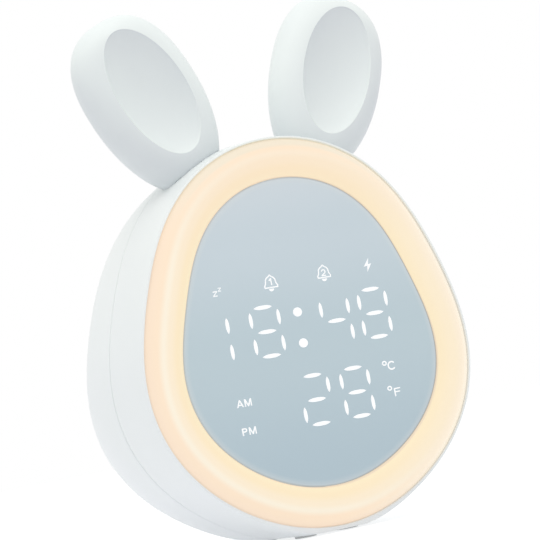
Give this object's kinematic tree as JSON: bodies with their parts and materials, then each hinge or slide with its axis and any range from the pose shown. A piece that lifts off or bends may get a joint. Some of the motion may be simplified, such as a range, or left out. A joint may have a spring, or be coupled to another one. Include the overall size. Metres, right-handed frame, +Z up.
{
  "type": "alarm clock",
  "caption": "Free-standing rabbit-eared alarm clock for a child's bedside, with a lit display inside a glowing ring night light and push keys on the back.",
  "frame": {"origin": "centre of the footprint of the bounding box, on the surface the feet rest on", "axes": "+Z up; the display faces -Y, the keys and charging port face +Y, +X is to the right of someone looking at the display"},
  "size_m": [0.1268, 0.0868, 0.1867],
  "materials": {
    "housing_white": "satin moulded, soft sheen",
    "panel_white": "fine spark-eroded grain",
    "ring_diffuser": "milky diffuser, lit from behind with warm white",
    "display_lens": "milky blue-grey window over lit digits",
    "reflector_grey": "matte moulded light wells",
    "digit_diffuser": "milky light guides",
    "board_green": "solder mask with a light weave",
    "board_white": "white solder mask",
    "lamp_resin": "clear resin",
    "lamp_warm": "phosphor-filled resin",
    "ear_white": "satin moulded, soft sheen",
    "screw_steel": "zinc plated",
    "inner_plastic": "moulded, unpolished",
    "chip_resin": "moulded resin",
    "switch_resin": "moulded resin",
    "socket_steel": "nickel plated shell",
    "sensor_resin": "dipped bead",
    "speaker_metal": "pressed basket",
    "speaker_paper": "pressed fibre with a soft roll",
    "magnet_steel": "plated cup",
    "cell_sleeve": "shrink sleeve over the can",
    "wire_red": "insulation",
    "wire_black": "insulation",
    "ribbon_film": "flat flexible film",
    "foot_rubber": "soft, matte",
    "key_white": "satin moulded"
  },
  "bodies": {
    "housing": {"front_shell": "housing_white", "rear_shell": "housing_white", "light_ring": "ring_diffuser", "display_panel": "display_lens", "segment_reflector": "reflector_grey", "segment_diffusers": "digit_diffuser", "display_board": "board_green", "display_lamps": "lamp_resin", "ring_board": "board_white", "ring_lamps_strip": "lamp_warm", "ear_left": "ear_white", "ear_right": "ear_white", "ear_stems": "inner_plastic", "ear_screws": "screw_steel", "ear_washers": "screw_steel", "display_screws": "screw_steel", "chassis": "inner_plastic", "chassis_screws": "screw_steel", "back_panel": "panel_white", "housing_screws": "screw_steel", "main_board": "board_green", "board_screws": "screw_steel", "controller_chips": "chip_resin", "key_switches": "switch_resin", "charging_socket": "socket_steel", "temperature_sensor": "sensor_resin", "speaker_frame": "speaker_metal", "speaker_cone": "speaker_paper", "speaker_magnet": "magnet_steel", "speaker_clamp": "inner_plastic", "battery_cell": "cell_sleeve", "battery_strap": "inner_plastic", "strap_screws": "screw_steel", "battery_leads": "wire_red", "speaker_leads": "wire_black", "ring_leads": "wire_red", "display_cable": "ribbon_film", "feet": "foot_rubber"},
    "key_set": {"key_set": "key_white"},
    "key_up": {"key_up": "key_white"},
    "key_down": {"key_down": "key_white"},
    "key_alarm": {"key_alarm": "key_white"},
    "key_light": {"key_light": "key_white"}
  },
  "joints": [
    {"name": "key_set_press", "type": "slide", "parent": "housing", "child": "key_set", "axis": [0, -1, 0], "range_m": [0, 0.0006], "stiffness_N_per_m": 600},
    {"name": "key_up_press", "type": "slide", "parent": "housing", "child": "key_up", "axis": [0, -1, 0], "range_m": [0, 0.0006], "stiffness_N_per_m": 600},
    {"name": "key_down_press", "type": "slide", "parent": "housing", "child": "key_down", "axis": [0, -1, 0], "range_m": [0, 0.0006], "stiffness_N_per_m": 600},
    {"name": "key_alarm_press", "type": "slide", "parent": "housing", "child": "key_alarm", "axis": [0, -1, 0], "range_m": [0, 0.0006], "stiffness_N_per_m": 600},
    {"name": "key_light_press", "type": "slide", "parent": "housing", "child": "key_light", "axis": [0, -1, 0], "range_m": [0, 0.0006], "stiffness_N_per_m": 600}
  ]
}
